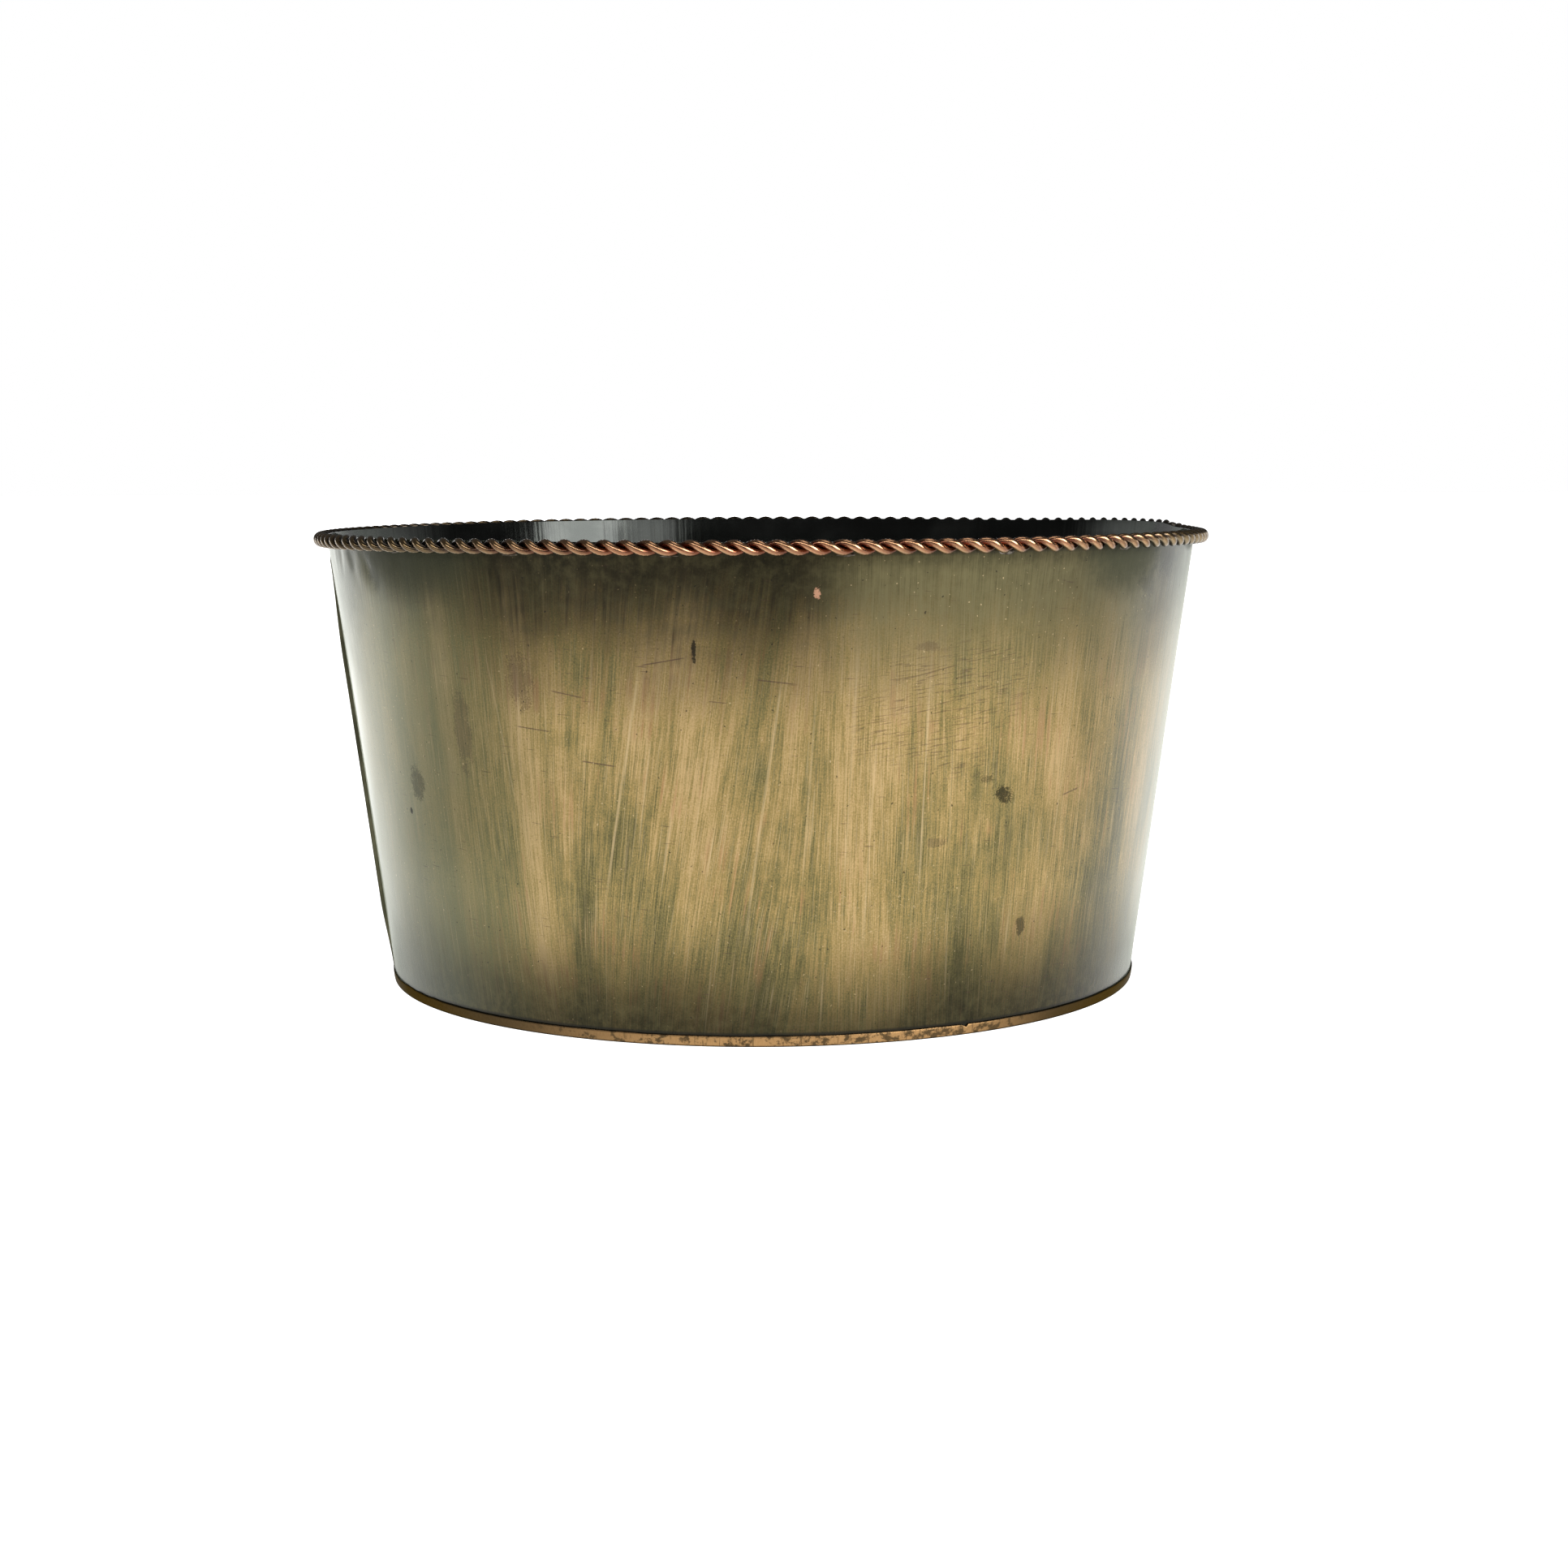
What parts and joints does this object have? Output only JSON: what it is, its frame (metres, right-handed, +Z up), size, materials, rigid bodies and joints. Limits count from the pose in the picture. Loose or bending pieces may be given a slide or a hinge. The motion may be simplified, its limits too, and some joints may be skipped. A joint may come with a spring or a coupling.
{
  "type": "planter pot",
  "caption": "Tapered round sheet-metal planter pot with a seamed wall, flat base pan and a twisted wire rope rim; holds a plant or soil.",
  "frame": {"origin": "centre of the underside of the base, on the plane that the pot rests on", "axes": "+Z up along the pot's axis; -Y is the front; the wall's side seam is on the -X side, 9 degrees round towards the front"},
  "size_m": [0.3052, 0.3052, 0.1551],
  "materials": {
    "wall_brass": "rubbed antique brass with dark patina bands, dark inside",
    "pan_copper": "rubbed copper-brass with brown mottling",
    "wire_copper": "antiqued copper, bright on the crowns",
    "solder": "darkened soft solder"
  },
  "bodies": {
    "root": {"body_wall": "wall_brass", "base_pan": "pan_copper", "rim_wire_a": "wire_copper", "rim_wire_b": "wire_copper", "rim_splice": "solder", "rim_solder": "solder", "base_solder": "solder"}
  },
  "joints": []
}
